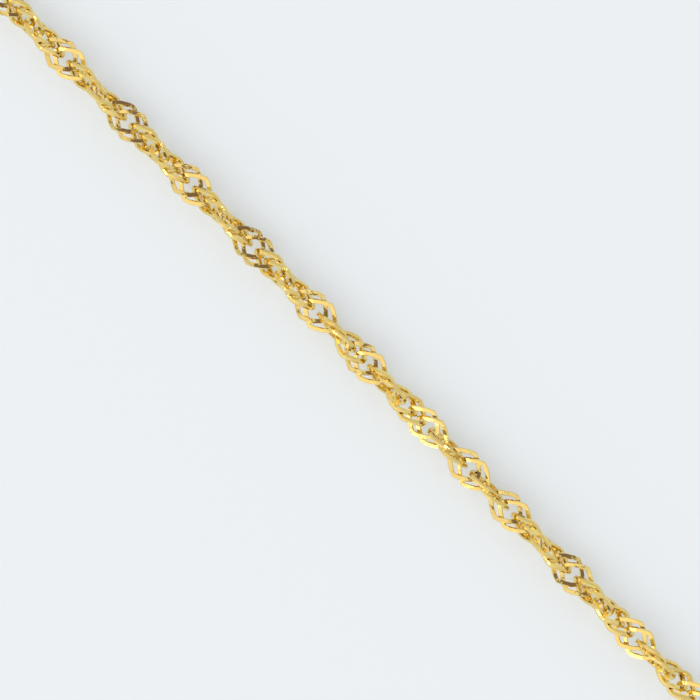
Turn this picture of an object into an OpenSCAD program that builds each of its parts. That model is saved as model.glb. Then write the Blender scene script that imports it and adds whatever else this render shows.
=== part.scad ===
// Twisted chain necklace, closed and laid flat in a long loop.
// The origin is at the middle of the loop, on the surface it lies on.

/* [Loop] */
// Length of the necklace along its middle line, clasp and rings included
loop_length = 450; // [400:5:600]
// Straight stretch at the front
front_straight = 75; // [70:1:110]

/* [Chain] */
// Width of the chain, which is what its twist sweeps out
chain_d = 2.1; // [1.8:0.1:2.4]
// Distance from one ring of the swept form to the next
chain_step = 6; // [5.8:0.1:8]

/* [Rings] */
// Outer diameter of the two rings at the ends of the chain
ring_outer = 3.0; // [2.9:0.1:3.4]
// Wire of those rings
ring_wire = 0.4; // [0.4:0.05:0.5]

/* [Clasp] */
// Outer diameter of the clasp
clasp_outer = 5.5; // [5:0.1:7]
// Thickness of the clasp's round body
clasp_wire = 1.1; // [0.9:0.05:1.1]
// Outer diameter of the small eye on the clasp
eye_outer = 2.2; // [2.2:0.1:2.6]
// Wire of the eye
eye_wire = 0.5; // [0.4:0.05:0.5]

/* [Hidden] */
// Room left between pieces that hook into each other
gap = 0.15;
// Sides of the chain's section, of a ring seen flat, and of a ring's wire
chain_sides = 8;
ring_sides = 48;
wire_sides = 24;
chain_r = chain_d / 2;
// The chain lies on the surface, and its flats are what it rests on
chain_z = chain_r;
chain_corner_r = chain_r / cos(180 / chain_sides);
// Radius of the two round ends of the loop
end_r = (loop_length - 2 * front_straight) / (2 * PI);
half_straight = front_straight / 2;
// The clasp reaches further back than the chain, so the loop sits a little forward
loop_y = (chain_r - clasp_outer / 2) / 2;
front_y = loop_y - end_r;
back_y = loop_y + end_r;

ring_r = (ring_outer - ring_wire) / 2;
ring_bore_r = ring_outer / 2 - ring_wire;
ring_z = ring_outer / 2;
clasp_r = (clasp_outer - clasp_wire) / 2;
eye_r = (eye_outer - eye_wire) / 2;
// The clasp lies in the rings, just above their lower wire
clasp_z = ring_wire + gap + clasp_wire / 2;
// The right ring stands round the clasp's body
ring_right_x = clasp_r;
// A quarter of the eye's wire is sunk into the clasp's left side, where the two are soldered
eye_x = -(clasp_outer / 2 + eye_r - eye_wire / 4);
// The eye's wire sits to the right of the left ring's middle, as far as the ring's bore lets it
eye_hold = ring_bore_r - gap - eye_wire / 2;
eye_drop = ring_z - clasp_z;
ring_left_x = eye_x - eye_r - sqrt(eye_hold * eye_hold - eye_drop * eye_drop);
// The chain ends just past each ring
chain_start_x = ring_right_x + ring_outer / 2 + gap;
chain_end_x = ring_left_x - ring_outer / 2 - gap;

// Evenly stepped numbers from a to b, both included
function steps(a, b, count) = [for (i = [0 : count]) a + (b - a) * i / count];
function count_for(len) = max(1, round(len / chain_step));

// Each station of the route is [x, y, heading], from the right ring round the front to the left ring
right_lead = half_straight - chain_start_x;
left_lead = half_straight + chain_end_x;
arc_count = count_for(PI * end_r);
lead_in = [for (x = steps(chain_start_x, half_straight, count_for(right_lead))) [x, back_y, 0]];
right_end = [for (a = steps(90, -90, arc_count))
    [half_straight + end_r * cos(a), loop_y + end_r * sin(a), a - 90]];
front_run = [for (x = steps(half_straight, -half_straight, count_for(front_straight))) [x, front_y, -180]];
left_end = [for (a = steps(-90, -270, arc_count))
    [-half_straight + end_r * cos(a), loop_y + end_r * sin(a), a - 90]];
lead_out = [for (x = steps(-half_straight, chain_end_x, count_for(left_lead))) [x, back_y, -360]];
// The last station of one stretch is the first of the next, so it is kept once
function all_but_last(list) = [for (i = [0 : len(list) - 2]) list[i]];
route = concat(all_but_last(lead_in), all_but_last(right_end), all_but_last(front_run),
    all_but_last(left_end), lead_out);

// One corner of the eight-sided section at a station
function corner(s, a) = let (across = chain_corner_r * cos(a))
    [s[0] - across * sin(s[2]), s[1] + across * cos(s[2]), chain_z + chain_corner_r * sin(a)];
function section(s) = [for (k = [0 : chain_sides - 1]) corner(s, (k + 0.5) * 360 / chain_sides)];

module swept(stations) {
    n = chain_sides;
    last = len(stations) - 1;
    points = [for (s = stations) each section(s)];
    sides = [for (i = [0 : last - 1], k = [0 : n - 1])
        [i * n + k, i * n + (k + 1) % n, (i + 1) * n + (k + 1) % n, (i + 1) * n + k]];
    first_cap = [for (k = [0 : n - 1]) n - 1 - k];
    last_cap = [for (k = [0 : n - 1]) last * n + k];
    polyhedron(points = points, faces = concat([first_cap], sides, [last_cap]));
}

// A closed round ring lying flat, centred on the origin
module flat_ring(middle_r, wire) {
    rotate_extrude($fn = ring_sides)
        translate([middle_r, 0])
            circle(d = wire, $fn = wire_sides);
}

module upright_ring(x) {
    translate([x, back_y, ring_z])
        rotate([90, 0, 0])
            flat_ring(ring_r, ring_wire);
}

module chain() {
    color("gold")
        swept(route);
}

module ring_left() {
    color("goldenrod")
        upright_ring(ring_left_x);
}

module clasp() {
    color("darkgoldenrod")
        translate([0, back_y, clasp_z])
            union() {
                flat_ring(clasp_r, clasp_wire);
                translate([eye_x, 0, 0])
                    flat_ring(eye_r, eye_wire);
            }
}

module ring_right() {
    color("goldenrod")
        upright_ring(ring_right_x);
}

chain();
ring_left();
clasp();
ring_right();
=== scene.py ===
import math
import bpy
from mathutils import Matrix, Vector


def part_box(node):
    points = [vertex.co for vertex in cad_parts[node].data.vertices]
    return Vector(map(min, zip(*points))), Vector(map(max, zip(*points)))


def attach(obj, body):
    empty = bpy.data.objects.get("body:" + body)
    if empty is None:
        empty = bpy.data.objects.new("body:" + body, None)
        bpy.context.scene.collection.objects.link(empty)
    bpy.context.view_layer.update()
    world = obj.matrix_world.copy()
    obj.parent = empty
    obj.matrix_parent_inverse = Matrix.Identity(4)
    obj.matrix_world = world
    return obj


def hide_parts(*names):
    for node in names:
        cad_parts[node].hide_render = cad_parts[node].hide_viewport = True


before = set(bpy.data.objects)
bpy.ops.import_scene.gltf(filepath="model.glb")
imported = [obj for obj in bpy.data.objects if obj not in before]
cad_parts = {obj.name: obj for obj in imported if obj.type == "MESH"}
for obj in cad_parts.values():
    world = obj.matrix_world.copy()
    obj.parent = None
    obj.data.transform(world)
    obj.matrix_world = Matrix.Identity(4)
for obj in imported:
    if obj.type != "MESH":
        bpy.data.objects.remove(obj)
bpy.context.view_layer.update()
mm = 0.001


class Value:
    # A socket that takes part in sums: each operator adds one Math node to its tree
    def __init__(self, tree, socket):
        self.tree = tree
        self.socket = socket

    def math(self, operation, *others):
        return self.tree.add("ShaderNodeMath", {"operation": operation}, dict(enumerate((self, *others))))

    def __add__(self, other):
        return self.math("ADD", other)

    def __sub__(self, other):
        return self.math("SUBTRACT", other)

    def __rsub__(self, other):
        return self.tree.add("ShaderNodeMath", {"operation": "SUBTRACT"}, {0: other, 1: self})

    def __mul__(self, other):
        return self.math("MULTIPLY", other)

    def __truediv__(self, other):
        return self.math("DIVIDE", other)

    __radd__ = __add__
    __rmul__ = __mul__


class Tree:
    # Adds nodes to one node tree: settings go in first, then the values or links of the sockets
    def __init__(self, nodeTree):
        self.nodeTree = nodeTree

    def add(self, kind, settings=None, sockets=None, output=0):
        node = self.nodeTree.nodes.new(kind)
        for name, setting in (settings or {}).items():
            setattr(node, name, setting)
        for key, content in (sockets or {}).items():
            socket = node.inputs[key]
            if isinstance(content, Value):
                self.nodeTree.links.new(content.socket, socket)
            else:
                socket.default_value = content
        if node.outputs:
            return Value(self, node.outputs[output])

    def mixColours(self, factor, first, second):
        # A Mix node keeps its two colours in sockets 6 and 7, and gives the result in output 2
        return self.add("ShaderNodeMix", {"data_type": "RGBA"}, {
            "Factor": factor, 6: first, 7: second}, output=2)


# The route of the chain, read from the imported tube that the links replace
chainLow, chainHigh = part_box("chain")
ringLow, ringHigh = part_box("ring_right")
leftRingLow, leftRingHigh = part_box("ring_left")
chainAxis = chainHigh.z / 2
frontY = chainLow.y + chainAxis
backY = chainHigh.y - chainAxis
endRadius = (backY - frontY) / 2
middleY = (backY + frontY) / 2
halfStraight = chainHigh.x - chainAxis - endRadius

links = {
    "step": 1.85 * mm,             # the links sit in close pairs, and this is from one pair to the next
    "pairReach": 0.40 * mm,        # from a pair's middle to each of its two links
    "pairTurn": 5.7,               # degrees from the pair's middle to each of its two links
    "stepsRound": 16,              # segments round one link
    "wireSides": 6,
    "wire": 0.31 * mm,             # width of the wire
    "flatCut": 0.5,                # 1 leaves the wire a hexagon, less broadens its upper and lower flats
    "halfLength": 1.131 * mm,      # along the chain
    "endSquare": 0.081 * mm,       # this and the next shape the link's two ends
    "endRound": -0.044 * mm,
    "halfWidth": 0.831 * mm,
    "sidePoint": -0.106 * mm,      # draws the two long sides out to a blunt point
    "twist": 0.106 * mm,           # lifts one end of each long side and drops the other
    "sharpEdge": 35,               # an edge that turns by more degrees than this stays crisp
    "shadeSeed": 7,                # each link is a little lighter or darker than the next
    "usualHalfTurn": 3,            # pairs in half a turn, where the twist is even
    "lean": 7.0,                   # degrees that the flat places tip by, one way and then the other
    # Where the front stretch lies flat side up, in mm along X: its twist is uneven
    "shownFlats": [-25.44, -19.84, -14.25, -8.69, -3.19, 0.88, 6.44, 10.13, 14.19, 19.69, 25.06, 30.0],
    "shownPairs": 33,              # pairs in the front stretch
    "pairsBefore": 2,              # those ahead of its first flat place
    "oddLink": -0.06 * mm,         # where one link between two pairs has no partner, along X
    "oddRoom": 0.80 * mm,          # length that it adds
    "hookRoom": 0.08 * mm,         # left between an end link and the ring it hooks into
    "bowHeight": 0.14 * mm,        # the front stretch isn't dead straight
    "bowPlace": -7 * mm,
    "bowSpread": 11 * mm,
}
# The chain rests on the long sides of the links that stand on edge
lineHeight = links["halfWidth"] - links["sidePoint"] + links["wire"] / 2


def placeOnRoundEnd(angle, middleX):
    x = middleX + endRadius * math.cos(angle)
    y = middleY + endRadius * math.sin(angle)
    return Vector((x, y, lineHeight))


def placeOnLoop(distance):
    # A point of the middle line, at a distance from the middle of the back, leftwards round the loop
    arc = math.pi * endRadius
    if distance < halfStraight:
        return Vector((-distance, backY, lineHeight))
    distance -= halfStraight
    if distance < arc:
        return placeOnRoundEnd(math.pi / 2 + distance / endRadius, -halfStraight)
    distance -= arc
    if distance < 2 * halfStraight:
        x = distance - halfStraight
        bow = links["bowHeight"] * math.exp(-((x - links["bowPlace"]) / links["bowSpread"]) ** 2)
        return Vector((x, frontY + bow, lineHeight))
    distance -= 2 * halfStraight
    if distance < arc:
        return placeOnRoundEnd(distance / endRadius - math.pi / 2, halfStraight)
    distance -= arc
    return Vector((halfStraight - distance, backY, lineHeight))


def between(x, xs, ys):
    # Straight-line interpolation in a short table
    for i in range(1, len(xs)):
        if x <= xs[i] or i == len(xs) - 1:
            return ys[i - 1] + (ys[i] - ys[i - 1]) * (x - xs[i - 1]) / (xs[i] - xs[i - 1])


def spread(start, end, step):
    # Evenly spaced places from start to end, about a step apart
    count = round((end - start) / step)
    return [start + (end - start) * i / count for i in range(count + 1)]


def hookDistance():
    # From the middle of a ring to the middle of the end link that hooks into it
    ringWire = (ringHigh.y - ringLow.y) / 2
    ringRadius = (ringHigh.z - ringLow.z) / 2 - ringWire
    ringReach = math.sqrt(ringRadius ** 2 - (ringRadius + ringWire - lineHeight) ** 2)
    endReach = links["halfLength"] + links["endSquare"] + links["endRound"]
    return ringReach + endReach - links["wire"] / 2 - ringWire - links["hookRoom"]


def placeLinks():
    # Each link's distance along the loop, and the angle that the chain has turned by there
    step = links["step"]
    reach = links["pairReach"]
    loopLength = 4 * halfStraight + 2 * math.pi * endRadius
    frontMiddle = loopLength / 2
    first = -(leftRingLow.x + leftRingHigh.x) / 2 + hookDistance() + reach
    last = loopLength - (ringLow.x + ringHigh.x) / 2 - hookDistance() - reach

    # The front stretch's pairs are counted from its first flat place, and others fill the rest evenly
    flats = [frontMiddle + x * mm for x in links["shownFlats"]]
    odd = frontMiddle + links["oddLink"]
    shown = []
    for i in range(links["shownPairs"]):
        middle = flats[0] + step * (i - links["pairsBefore"])
        if middle > odd:
            middle += links["oddRoom"]
        shown.append(middle)
    middles = spread(first, shown[0], step)[:-1] + shown + spread(shown[-1], last, step)[1:]

    # The chain makes half a turn from one flat place to the next
    halfTurn = links["usualHalfTurn"] * step
    before = spread(first, flats[0], halfTurn)[:-1]
    knots = before + flats + spread(flats[-1], last, halfTurn)[1:]
    turns = [math.pi * i for i in range(len(knots))]
    places = [(odd, between(odd, knots, turns))]
    for middle in middles:
        turn = between(middle, knots, turns)
        turn += math.radians(links["lean"]) * math.cos(turn - turns[len(before)])
        for side in (-1, 1):
            places.append((middle + side * reach, turn + side * math.radians(links["pairTurn"])))
    return sorted(places)


def makeMiddleLine():
    # One vertex where each link sits, with its turn kept as an attribute
    places = placeLinks()
    print(len(places), "links")
    vertices = [placeOnLoop(distance) for distance, turn in places]
    edges = [(i, i + 1) for i in range(len(places) - 1)]
    mesh = bpy.data.meshes.new("middleLine")
    mesh.from_pydata(vertices, edges, [])
    attribute = mesh.attributes.new("turn", "FLOAT", "POINT")
    attribute.data.foreach_set("value", [turn for distance, turn in places])
    return mesh


def makeOneLink(tree, given):
    # The link's middle line, which looks the same when it is turned over
    index = tree.add("GeometryNodeInputIndex")
    angle = index * (2 * math.pi) / given["stepsRound"]
    along = (given["halfLength"] * angle.math("COSINE") + given["endSquare"] * (angle * 3).math("COSINE")
             + given["endRound"] * (angle * 5).math("COSINE"))
    across = given["halfWidth"] * angle.math("SINE") + given["sidePoint"] * (angle * 3).math("SINE")
    up = given["twist"] * (angle * 2).math("SINE")
    place = tree.add("ShaderNodeCombineXYZ", {}, {"X": along, "Y": 0 - across, "Z": up})
    loop = tree.add("GeometryNodeCurvePrimitiveCircle", {"mode": "RADIUS"}, {
        "Resolution": given["stepsRound"]})
    loop = tree.add("GeometryNodeSetPosition", {}, {"Geometry": loop, "Position": place})
    loop = tree.add("GeometryNodeSetCurveNormal", {"mode": "Z_UP"}, {"Curve": loop})

    # The wire's section: a hexagon with four corners moved out, for broad upper and lower flats
    sideAngle = index * (2 * math.pi) / given["wireSides"]
    sideways = sideAngle.math("COSINE")
    broad = sideways.math("ABSOLUTE").math("POWER", given["flatCut"]) * sideways.math("SIGN")
    corner = tree.add("ShaderNodeCombineXYZ", {}, {
        "X": broad * given["wire"] / 2, "Y": sideAngle.math("SINE") * given["wire"] / 2})
    section = tree.add("GeometryNodeCurvePrimitiveCircle", {"mode": "RADIUS"}, {
        "Resolution": given["wireSides"]})
    section = tree.add("GeometryNodeSetPosition", {}, {"Geometry": section, "Position": corner})
    return tree.add("GeometryNodeCurveToMesh", {}, {"Curve": loop, "Profile Curve": section})


def makeLinkTree():
    nodeTree = bpy.data.node_groups.new("twistedLinks", "GeometryNodeTree")
    tree = Tree(nodeTree)
    face = nodeTree.interface
    face.new_socket("Geometry", in_out="OUTPUT", socket_type="NodeSocketGeometry")
    face.new_socket("Geometry", in_out="INPUT", socket_type="NodeSocketGeometry")
    inputs = {
        "NodeSocketFloat": [
            "halfLength", "endSquare", "endRound", "halfWidth", "sidePoint", "twist", "wire", "flatCut"],
        "NodeSocketInt": ["stepsRound", "wireSides"],
        "NodeSocketMaterial": ["finish"],
    }
    sockets = {}
    for kind, names in inputs.items():
        for name in names:
            sockets[name] = face.new_socket(name, in_out="INPUT", socket_type=kind).identifier
    entry = nodeTree.nodes.new("NodeGroupInput")
    given = {socket.name: Value(tree, socket) for socket in entry.outputs}
    link = makeOneLink(tree, given)

    # A link at each vertex of the middle line, turned about the line by the angle kept there
    line = tree.add("GeometryNodeMeshToCurve", {"mode": "EDGES"}, {"Mesh": given["Geometry"]})
    points = tree.add("GeometryNodeCurveToPoints", {"mode": "EVALUATED"}, {"Curve": line})
    tangent = Value(tree, points.socket.node.outputs["Tangent"])
    turn = tree.add("GeometryNodeInputNamedAttribute", {"data_type": "FLOAT"}, {"Name": "turn"})
    lying = tree.add("FunctionNodeAxesToRotation", {"primary_axis": "X", "secondary_axis": "Z"}, {
        "Primary Axis": tangent, "Secondary Axis": (0, 0, 1)})
    aboutLine = tree.add("FunctionNodeAxisAngleToRotation", {}, {"Axis": (1, 0, 0), "Angle": turn})
    turned = tree.add("FunctionNodeRotateRotation", {"rotation_space": "LOCAL"}, {
        "Rotation": lying, "Rotate By": aboutLine})
    chain = tree.add("GeometryNodeInstanceOnPoints", {}, {
        "Points": points, "Instance": link, "Rotation": turned})
    shade = tree.add("FunctionNodeRandomValue", {"data_type": "FLOAT"}, {
        "Seed": links["shadeSeed"]}, output=1)
    chain = tree.add("GeometryNodeStoreNamedAttribute", {"data_type": "FLOAT", "domain": "INSTANCE"}, {
        "Geometry": chain, "Name": "shade", "Value": shade})
    chain = tree.add("GeometryNodeRealizeInstances", {}, {"Geometry": chain})

    # The wire's edges stay crisp, and all else is smooth
    chain = tree.add("GeometryNodeSetShadeSmooth", {"domain": "FACE"}, {
        "Geometry": chain, "Shade Smooth": True})
    edge = tree.add("GeometryNodeInputMeshEdgeAngle")
    sharp = tree.add("FunctionNodeCompare", {"data_type": "FLOAT", "operation": "GREATER_THAN"}, {
        "A": edge, "B": math.radians(links["sharpEdge"])})
    chain = tree.add("GeometryNodeSetShadeSmooth", {"domain": "EDGE"}, {
        "Geometry": chain, "Selection": sharp, "Shade Smooth": False})
    chain = tree.add("GeometryNodeSetMaterial", {}, {"Geometry": chain, "Material": given["finish"]})
    tree.add("NodeGroupOutput", {}, {"Geometry": chain})
    return nodeTree, sockets


gold = {
    "chain": (0.88, 0.705, 0.27),
    "plain": (0.87, 0.695, 0.27),
    "deeper": (0.94, 0.90, 0.82),  # what a colour is multiplied by to give its deeper tone
    "roughness": 0.08,
    "roughnessSpread": 0.1,
    "cloudScale": 900.0,           # patches of slightly different tone and gloss
    "unevenScale": 2200.0,         # the cut flats of real wire aren't quite level
    "unevenDepth": 0.05 * mm,
    "detail": 2.0,
}


def goldMaterial(name, colour, eachLink):
    # With eachLink, half of the tone's change is from one link to the next
    material = bpy.data.materials.new(name)
    material.use_nodes = True
    material.node_tree.nodes.clear()
    tree = Tree(material.node_tree)
    place = tree.add("ShaderNodeTexCoord", output="Object")
    cloud = tree.add("ShaderNodeTexNoise", {}, {
        "Vector": place, "Scale": gold["cloudScale"], "Detail": gold["detail"]})
    uneven = tree.add("ShaderNodeTexNoise", {}, {
        "Vector": place, "Scale": gold["unevenScale"], "Detail": gold["detail"]})
    tint = cloud * 0.5
    if eachLink:
        tint = tint + tree.add("ShaderNodeAttribute", {"attribute_name": "shade"}, output="Fac") * 0.5
    deeper = tuple(c * k for c, k in zip(colour, gold["deeper"]))
    bump = tree.add("ShaderNodeBump", {}, {
        "Strength": 1.0, "Distance": gold["unevenDepth"], "Height": uneven})
    shader = tree.add("ShaderNodeBsdfPrincipled", {}, {
        "Base Color": tree.mixColours(tint, deeper + (1,), colour + (1,)),
        "Roughness": gold["roughness"] + (cloud - 0.5) * gold["roughnessSpread"],
        "Metallic": 1.0,
        "Normal": bump})
    tree.add("ShaderNodeOutputMaterial", {}, {"Surface": shader})
    return material


chainGold = goldMaterial("chainGold", gold["chain"], True)
plainGold = goldMaterial("plainGold", gold["plain"], False)
print("materials made")


def makeChain():
    guide = bpy.data.objects.new("chainGuide", makeMiddleLine())
    bpy.context.scene.collection.objects.link(guide)
    nodeTree, sockets = makeLinkTree()
    modifier = guide.modifiers.new("links", "NODES")
    modifier.node_group = nodeTree
    for name, identifier in sockets.items():
        modifier[identifier] = chainGold if name == "finish" else links[name]
    evaluated = guide.evaluated_get(bpy.context.evaluated_depsgraph_get())
    mesh = bpy.data.meshes.new_from_object(evaluated)
    mesh.name = "chainLinks"
    guide.modifiers.remove(modifier)
    bpy.data.objects.remove(guide)
    chain = bpy.data.objects.new("chain_links", mesh)
    bpy.context.scene.collection.objects.link(chain)
    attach(chain, "root")
    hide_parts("chain")
    return chain


chainLinks = makeChain()
print("links made:", len(chainLinks.data.polygons), "faces")

for name in ("ring_left", "clasp", "ring_right"):
    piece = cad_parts[name]
    piece.data.materials.clear()
    piece.data.materials.append(plainGold)
print("clasp and rings finished")

view = {
    "width": 43.75 * mm,       # what the photograph's 700 pixels cover
    "distance": 0.35,
    "turn": 45.48,             # the chain runs to the lower right
    "shift": -0.06 * mm,       # the chain passes a pixel from the picture's middle
    "clipStart": 0.01,
    "clipEnd": 10,
}


def makeCamera():
    camera = bpy.data.objects.new("camera", bpy.data.cameras.new("camera"))
    bpy.context.scene.collection.objects.link(camera)
    camera.data.clip_start = view["clipStart"]
    camera.data.clip_end = view["clipEnd"]
    camera.data.lens = camera.data.sensor_width * view["distance"] / view["width"]
    camera.location = (0, frontY + view["shift"], chainAxis + view["distance"])
    camera.rotation_euler = (0, 0, math.radians(view["turn"]))
    bpy.context.scene.camera = camera


studio = {
    "floorReach": 0.6,         # half the floor's side
    "floorColour": (0.578, 0.637, 0.72, 1),
    "floorRoughness": 0.7,
    "floorSpecular": 0.2,
    "glow": 0.30,              # the floor is a panel lit from below, so the shadows on it are faint
    "glowColour": (0.95, 1.0, 1.03, 1),
    "dome": 0.73,              # light from all round
    "domeColour": (1, 0.98, 0.92, 1),
    "sideColour": (1.70, 1.55, 1.36, 1),  # the dome is brighter and warmer on the key light's side
    "sideFrom": 0.2,           # cosine of the angle from the key light where that side starts
    "sideTo": 1.0,
    "openingColour": (0.32, 0.235, 0.24, 1),  # an opening near the top of the dome, where it is dimmer
    "openingFrom": 0.92,       # cosine of the angle from the opening's middle to its soft edge
    "openingTo": 0.965,
    "openingTilt": 21,         # degrees from straight up to the opening's middle, across the chain
    "lampColour": (1, 0.94, 0.86),
}
# Name, place seen from the middle of the front stretch, size and power
lamps = [
    ("keyLight", (-0.04, -0.35, 0.27), 0.28, 0.19),
    ("leftGlint", (-0.30, -0.16, 0.20), 0.08, 0.05),
    ("rightGlint", (0.28, 0.12, 0.30), 0.08, 0.04),
]


def makeFloor():
    mesh = bpy.data.meshes.new("floor")
    reach = studio["floorReach"]
    mesh.from_pydata([(-reach, -reach, 0), (reach, -reach, 0), (reach, reach, 0), (-reach, reach, 0)],
                     [], [(0, 1, 2, 3)])
    floor = bpy.data.objects.new("floor", mesh)
    bpy.context.scene.collection.objects.link(floor)
    material = bpy.data.materials.new("paleFloor")
    material.use_nodes = True
    shader = material.node_tree.nodes["Principled BSDF"]
    shader.inputs["Base Color"].default_value = studio["floorColour"]
    shader.inputs["Roughness"].default_value = studio["floorRoughness"]
    shader.inputs["Specular IOR Level"].default_value = studio["floorSpecular"]
    shader.inputs["Emission Color"].default_value = studio["glowColour"]
    shader.inputs["Emission Strength"].default_value = studio["glow"]
    mesh.materials.append(material)


def nearTo(tree, middle, edge, core):
    # 0 far from a place of the dome, rising softly from the place's edge to 1 at its core
    nearness = tree.add("ShaderNodeVectorMath", {"operation": "DOT_PRODUCT"}, {
        0: tree.add("ShaderNodeTexCoord"), 1: middle}, output="Value")
    return tree.add("ShaderNodeMapRange", {"interpolation_type": "SMOOTHSTEP"}, {
        "Value": nearness, "From Min": edge, "From Max": core})


def makeDome():
    # A pale dome with a brighter side and a dimmer opening, so that the metal has something dark to mirror
    world = bpy.data.worlds.new("studio")
    bpy.context.scene.world = world
    world.use_nodes = True
    world.node_tree.nodes.clear()
    tree = Tree(world.node_tree)
    keyPlace = Vector(lamps[0][1])
    side = nearTo(tree, keyPlace.normalized(), studio["sideFrom"], studio["sideTo"])
    colour = tree.mixColours(side, studio["domeColour"], studio["sideColour"])
    tilt = math.radians(studio["openingTilt"])
    openingPlace = (0, math.sin(tilt), math.cos(tilt))
    opening = nearTo(tree, openingPlace, studio["openingFrom"], studio["openingTo"])
    colour = tree.mixColours(opening, colour, studio["openingColour"])
    light = tree.add("ShaderNodeBackground", {}, {"Color": colour, "Strength": studio["dome"]})
    tree.add("ShaderNodeOutputWorld", {}, {"Surface": light})


def makeLamps():
    front = Vector((0, frontY, 0))
    for name, offset, size, power in lamps:
        lamp = bpy.data.objects.new(name, bpy.data.lights.new(name, "AREA"))
        bpy.context.scene.collection.objects.link(lamp)
        lamp.data.shape = "DISK"
        lamp.data.size = size
        lamp.data.energy = power
        lamp.data.color = studio["lampColour"]
        lamp.location = front + Vector(offset)
        lamp.rotation_euler = Vector(offset).to_track_quat("Z", "Y").to_euler()


makeCamera()
makeFloor()
makeDome()
makeLamps()
bpy.context.scene.view_settings.view_transform = "Standard"
print("camera and light made")
